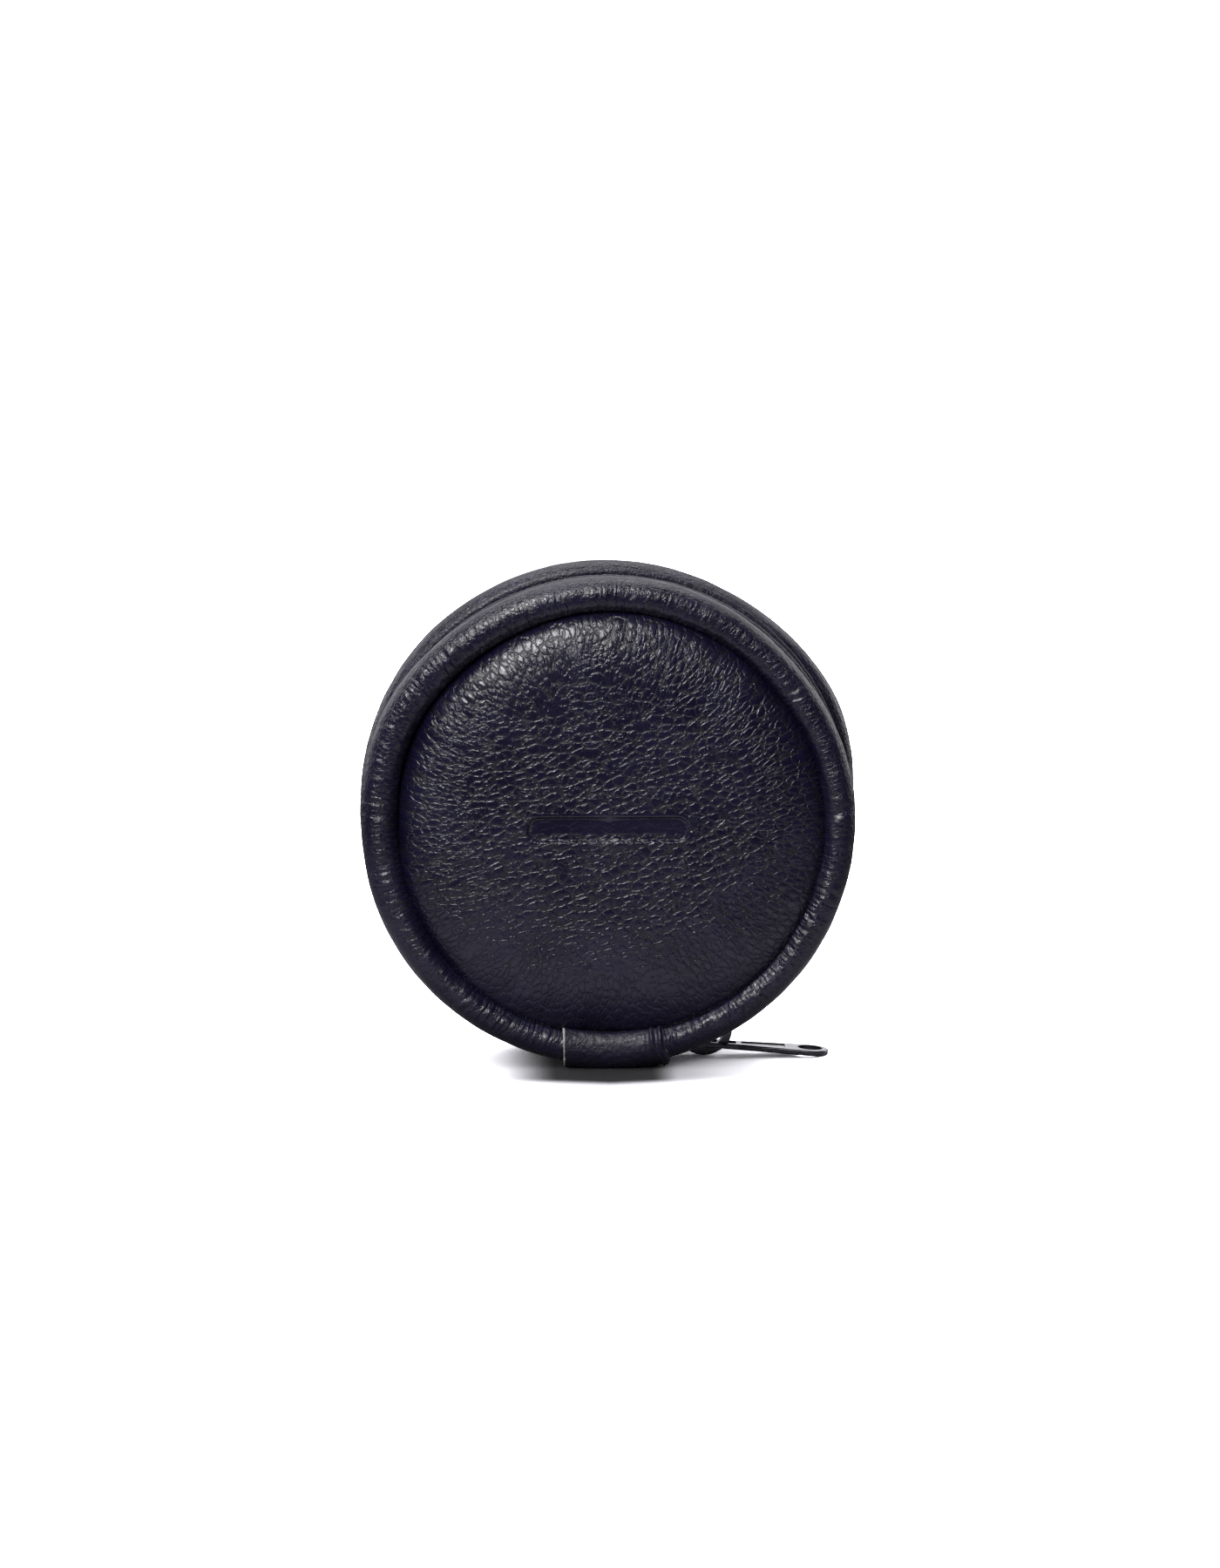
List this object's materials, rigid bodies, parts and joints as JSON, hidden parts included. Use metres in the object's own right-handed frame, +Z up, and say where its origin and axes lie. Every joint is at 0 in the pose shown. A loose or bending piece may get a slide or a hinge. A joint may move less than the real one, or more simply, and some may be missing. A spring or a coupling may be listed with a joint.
{
  "type": "coin purse",
  "caption": "Round padded leather coin purse with piped rims, a zip all the way round its gusset, a hinged half and a swinging zip pull.",
  "frame": {"origin": "on the surface the purse stands on, below the middle of the purse", "axes": "+Z up, -Y out of the front half (the lid), +X to the right seen from the front, where the zip's slider parks"},
  "size_m": [0.096, 0.0318, 0.0963],
  "materials": {
    "black_leather": "pebbled, satin",
    "foam": "open-cell foam pad",
    "board": "stiffener board",
    "lining": "woven lining",
    "cord": "twisted cotton piping cord",
    "thread": "bonded thread",
    "zip_tape": "woven polyester tape",
    "zip_coil": "nylon coil",
    "gunmetal": "dark gunmetal plate"
  },
  "bodies": {
    "base": {"back_panel": "black_leather", "back_foam": "foam", "back_board": "board", "back_lining": "lining", "back_piping": "black_leather", "back_piping_cord": "cord", "back_piping_wrap": "black_leather", "back_gusset": "black_leather", "back_gusset_lining": "lining", "back_topstitch": "thread", "back_zip_tape": "zip_tape", "back_zip_coil": "zip_coil", "hinge_leather": "black_leather", "hinge_lining": "lining", "front_tape_ends": "zip_tape", "front_coil_ends": "zip_coil", "zip_top_stops": "gunmetal", "zip_bottom_stop": "gunmetal"},
    "lid": {"front_panel": "black_leather", "front_foam": "foam", "front_board": "board", "front_lining": "lining", "front_piping": "black_leather", "front_piping_cord": "cord", "front_piping_wrap": "black_leather", "front_gusset": "black_leather", "front_gusset_lining": "lining", "front_topstitch": "thread", "front_zip_tape": "zip_tape", "front_zip_coil": "zip_coil"},
    "slider": {"slider_body": "gunmetal", "slider_crown": "gunmetal"},
    "pull": {"pull_tab": "gunmetal"}
  },
  "joints": [
    {"name": "lid_hinge", "type": "hinge", "parent": "base", "child": "lid", "pos_m": [0, 0, 0], "axis": [1, 0, 0], "range_deg": [0, 60], "deforming": ["hinge_leather", "hinge_lining"]},
    {"name": "zip_slide", "type": "hinge", "parent": "base", "child": "slider", "pos_m": [0, 0, 0.0483], "axis": [0, -1, 0], "range_deg": [0, 312]},
    {"name": "pull_swing", "type": "hinge", "parent": "slider", "child": "pull", "pos_m": [0.01869, 0, 0.00238], "axis": [0, -1, 0], "range_deg": [-150, 24]}
  ]
}
